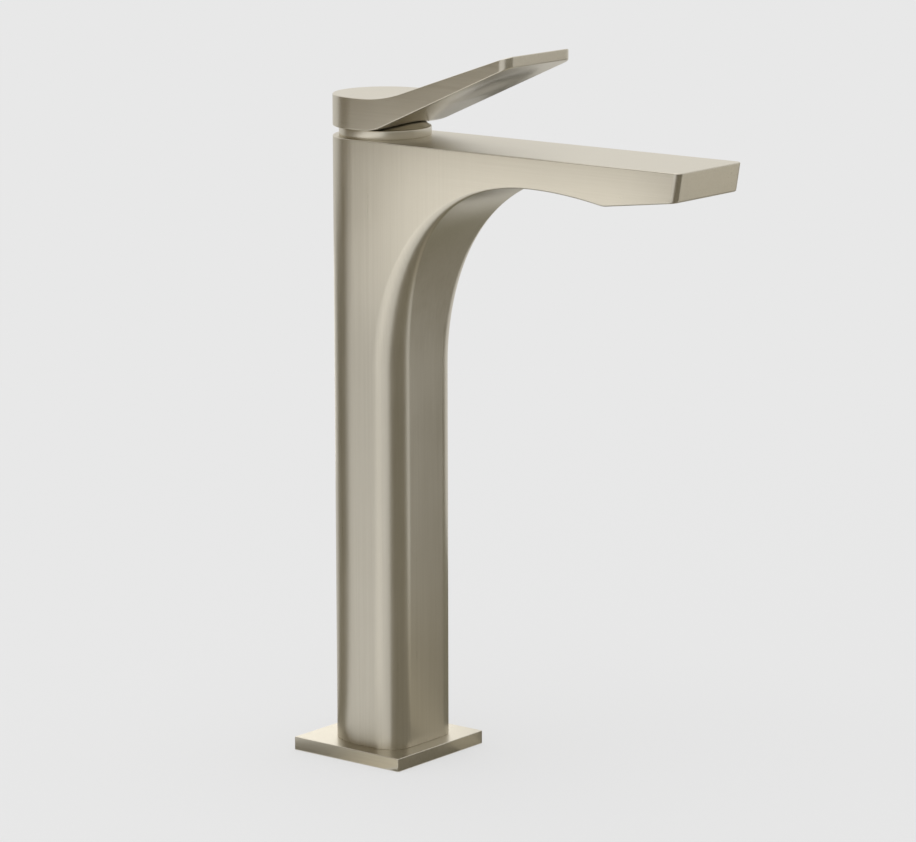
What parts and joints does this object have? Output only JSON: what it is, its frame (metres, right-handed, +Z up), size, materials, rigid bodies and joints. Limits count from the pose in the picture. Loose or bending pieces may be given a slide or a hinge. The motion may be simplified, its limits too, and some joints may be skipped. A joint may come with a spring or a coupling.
{
  "type": "waterfall basin faucet",
  "caption": "Tall single-lever basin faucet: round-backed column sweeping into a flat spout with a sheet-water outlet, tilting and swivelling lever, square base plate.",
  "frame": {"origin": "centre of the tap hole on the deck, under the base plate", "axes": "+Z up, spout and lever point along -Y, X across the spout"},
  "size_m": [0.06, 0.2036, 0.3936],
  "materials": {
    "satin_nickel": "finely brushed, warm satin nickel",
    "brass": "machined",
    "steel": "zinc plated",
    "copper": "drawn tube",
    "rubber": "matt black",
    "ceramic": "lapped ceramic",
    "white_plastic": "moulded",
    "grey_plastic": "moulded",
    "red_plastic": "moulded"
  },
  "bodies": {
    "root": {"base_plate": "satin_nickel", "base_seal": "rubber", "body": "satin_nickel", "body_seal": "rubber", "inlet_block": "brass", "supply_tube_cold": "copper", "supply_tube_hot": "copper", "tube_seals": "rubber", "port_seals": "rubber", "cartridge_base": "white_plastic", "cartridge_housing": "grey_plastic", "housing_seal": "rubber", "fixed_disc": "ceramic", "cartridge_nut": "brass", "collar_ring": "satin_nickel", "outlet_seal": "rubber", "flow_straightener": "white_plastic", "outlet_insert": "satin_nickel", "mounting_stud": "steel", "clamp_pad": "rubber", "clamp_plate": "steel", "mounting_nut": "brass"},
    "turret": {"rotor": "white_plastic", "pivot_pin": "steel", "limit_ring": "red_plastic"},
    "lever": {"lever_stem": "steel", "lever_handle": "satin_nickel", "grub_screw": "steel", "screw_plug": "satin_nickel"},
    "disc": {"moving_disc": "ceramic", "disc_carrier": "white_plastic"}
  },
  "joints": [
    {"name": "lever_swivel", "type": "hinge", "parent": "root", "child": "turret", "pos_m": [0, 0, 0.262], "axis": [0, 0, 1], "range_deg": [-50, 50]},
    {"name": "lever_lift", "type": "hinge", "parent": "turret", "child": "lever", "pos_m": [0, 0, 0.262], "axis": [-1, 0, 0], "range_deg": [0, 20]},
    {"name": "disc_slide", "type": "slide", "parent": "turret", "child": "disc", "axis": [0, -1, 0], "range_m": [0, 0.0049]}
  ],
  "couplings": [
    {"joint": "disc_slide", "follows": "lever_lift", "m_per_rad": 0.013717}
  ]
}
